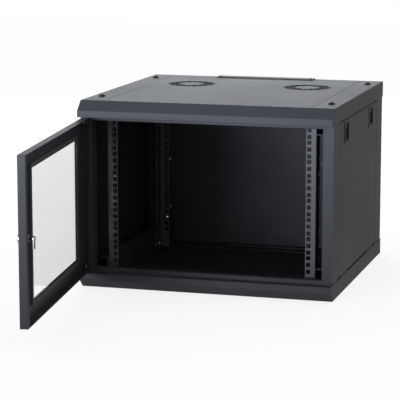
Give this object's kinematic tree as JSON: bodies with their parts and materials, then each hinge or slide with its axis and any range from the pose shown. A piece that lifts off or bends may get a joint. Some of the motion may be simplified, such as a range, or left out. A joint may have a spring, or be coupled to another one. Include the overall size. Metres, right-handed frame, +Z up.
{
  "type": "wall mount network cabinet",
  "caption": "Wall mount equipment cabinet with sloped bezels, an open glazed door, punched equipment rails, latched side panels and a top with honeycomb fan grilles.",
  "frame": {"origin": "centre of the four wall holes, on the plane that meets the wall", "axes": "+X to the right as seen from the front, +Y into the wall, +Z up"},
  "size_m": [0.6, 1.1622, 0.445],
  "materials": {
    "case_paint": "fine-textured black powder coat",
    "rail_paint": "satin dark grey paint",
    "glass": "clear toughened glass, slightly smoked",
    "gasket": "matt black rubber",
    "latch_plastic": "fine-grained black plastic",
    "bush_plastic": "smooth black nylon",
    "zinc_steel": "zinc plated steel",
    "lock_chrome": "bright chrome plating",
    "black_bolts": "black coated steel"
  },
  "bodies": {
    "case": {"back_panel": "case_paint", "back_panel_screws": "zinc_steel", "bottom_bolts": "black_bolts", "bottom_panel": "case_paint", "cable_cover_bottom": "case_paint", "cable_cover_screws": "black_bolts", "cable_cover_top": "case_paint", "front_header": "case_paint", "front_post_left": "case_paint", "front_post_right": "case_paint", "front_sill": "case_paint", "hinge_bracket_lower": "case_paint", "hinge_bracket_upper": "case_paint", "hinge_pins": "zinc_steel", "hinge_screws": "zinc_steel", "rear_crossbar_bottom": "case_paint", "rear_crossbar_top": "case_paint", "rear_post_left": "case_paint", "rear_post_right": "case_paint", "side_member_bottom_left": "case_paint", "side_member_bottom_right": "case_paint", "side_member_top_left": "case_paint", "side_member_top_right": "case_paint", "top_bolts": "black_bolts", "top_panel": "case_paint"},
    "door": {"door_frame": "case_paint", "door_glass": "glass", "glass_gasket": "gasket", "lock_body": "lock_chrome", "lock_nut": "zinc_steel", "lock_stop_plate": "zinc_steel", "hinge_bushes": "bush_plastic"},
    "lock_core": {"lock_plug": "lock_chrome", "lock_cam": "zinc_steel", "cam_screw": "zinc_steel"},
    "side_panel_left": {"side_panel_left": "case_paint", "latch_housing_front_left": "latch_plastic", "latch_housing_rear_left": "latch_plastic"},
    "latch_front_left": {"latch_slider_front_left": "latch_plastic"},
    "latch_rear_left": {"latch_slider_rear_left": "latch_plastic"},
    "side_panel_right": {"side_panel_right": "case_paint", "latch_housing_front_right": "latch_plastic", "latch_housing_rear_right": "latch_plastic"},
    "latch_front_right": {"latch_slider_front_right": "latch_plastic"},
    "latch_rear_right": {"latch_slider_rear_right": "latch_plastic"},
    "rail_front_left": {"rail_front_left": "rail_paint", "rail_bolts_front_left": "zinc_steel", "rail_nuts_front_left": "zinc_steel"},
    "rail_front_right": {"rail_front_right": "rail_paint", "rail_bolts_front_right": "zinc_steel", "rail_nuts_front_right": "zinc_steel"},
    "rail_rear_left": {"rail_rear_left": "rail_paint", "rail_bolts_rear_left": "zinc_steel", "rail_nuts_rear_left": "zinc_steel"},
    "rail_rear_right": {"rail_rear_right": "rail_paint", "rail_bolts_rear_right": "zinc_steel", "rail_nuts_rear_right": "zinc_steel"}
  },
  "joints": [
    {"name": "door_hinge", "type": "hinge", "parent": "case", "child": "door", "pos_m": [-0.286, -0.5875, 0], "axis": [0, 0, -1], "range_deg": [-83, 97]},
    {"name": "lock_turn", "type": "hinge", "parent": "door", "child": "lock_core", "pos_m": [-0.21922, -1.13142, 0.004], "axis": [-0.9925, -0.1219, 0], "range_deg": [0, 90]},
    {"name": "side_panel_left_tilt", "type": "hinge", "parent": "case", "child": "side_panel_left", "pos_m": [-0.2984, -0.2925, -0.179], "axis": [0, -1, 0], "range_deg": [0, 25]},
    {"name": "latch_front_left_slide", "type": "slide", "parent": "side_panel_left", "child": "latch_front_left", "axis": [0, 0, 1], "range_m": [0, 0.008]},
    {"name": "latch_rear_left_slide", "type": "slide", "parent": "side_panel_left", "child": "latch_rear_left", "axis": [0, 0, 1], "range_m": [0, 0.008]},
    {"name": "side_panel_right_tilt", "type": "hinge", "parent": "case", "child": "side_panel_right", "pos_m": [0.2984, -0.2925, -0.179], "axis": [0, 1, 0], "range_deg": [0, 25]},
    {"name": "latch_front_right_slide", "type": "slide", "parent": "side_panel_right", "child": "latch_front_right", "axis": [0, 0, 1], "range_m": [0, 0.008]},
    {"name": "latch_rear_right_slide", "type": "slide", "parent": "side_panel_right", "child": "latch_rear_right", "axis": [0, 0, 1], "range_m": [0, 0.008]},
    {"name": "rail_front_left_slide", "type": "slide", "parent": "case", "child": "rail_front_left", "axis": [0, 1, 0], "range_m": [-0.01, 0.08]},
    {"name": "rail_front_right_slide", "type": "slide", "parent": "case", "child": "rail_front_right", "axis": [0, 1, 0], "range_m": [-0.01, 0.08]},
    {"name": "rail_rear_left_slide", "type": "slide", "parent": "case", "child": "rail_rear_left", "axis": [0, 1, 0], "range_m": [-0.08, 0.01]},
    {"name": "rail_rear_right_slide", "type": "slide", "parent": "case", "child": "rail_rear_right", "axis": [0, 1, 0], "range_m": [-0.08, 0.01]}
  ]
}
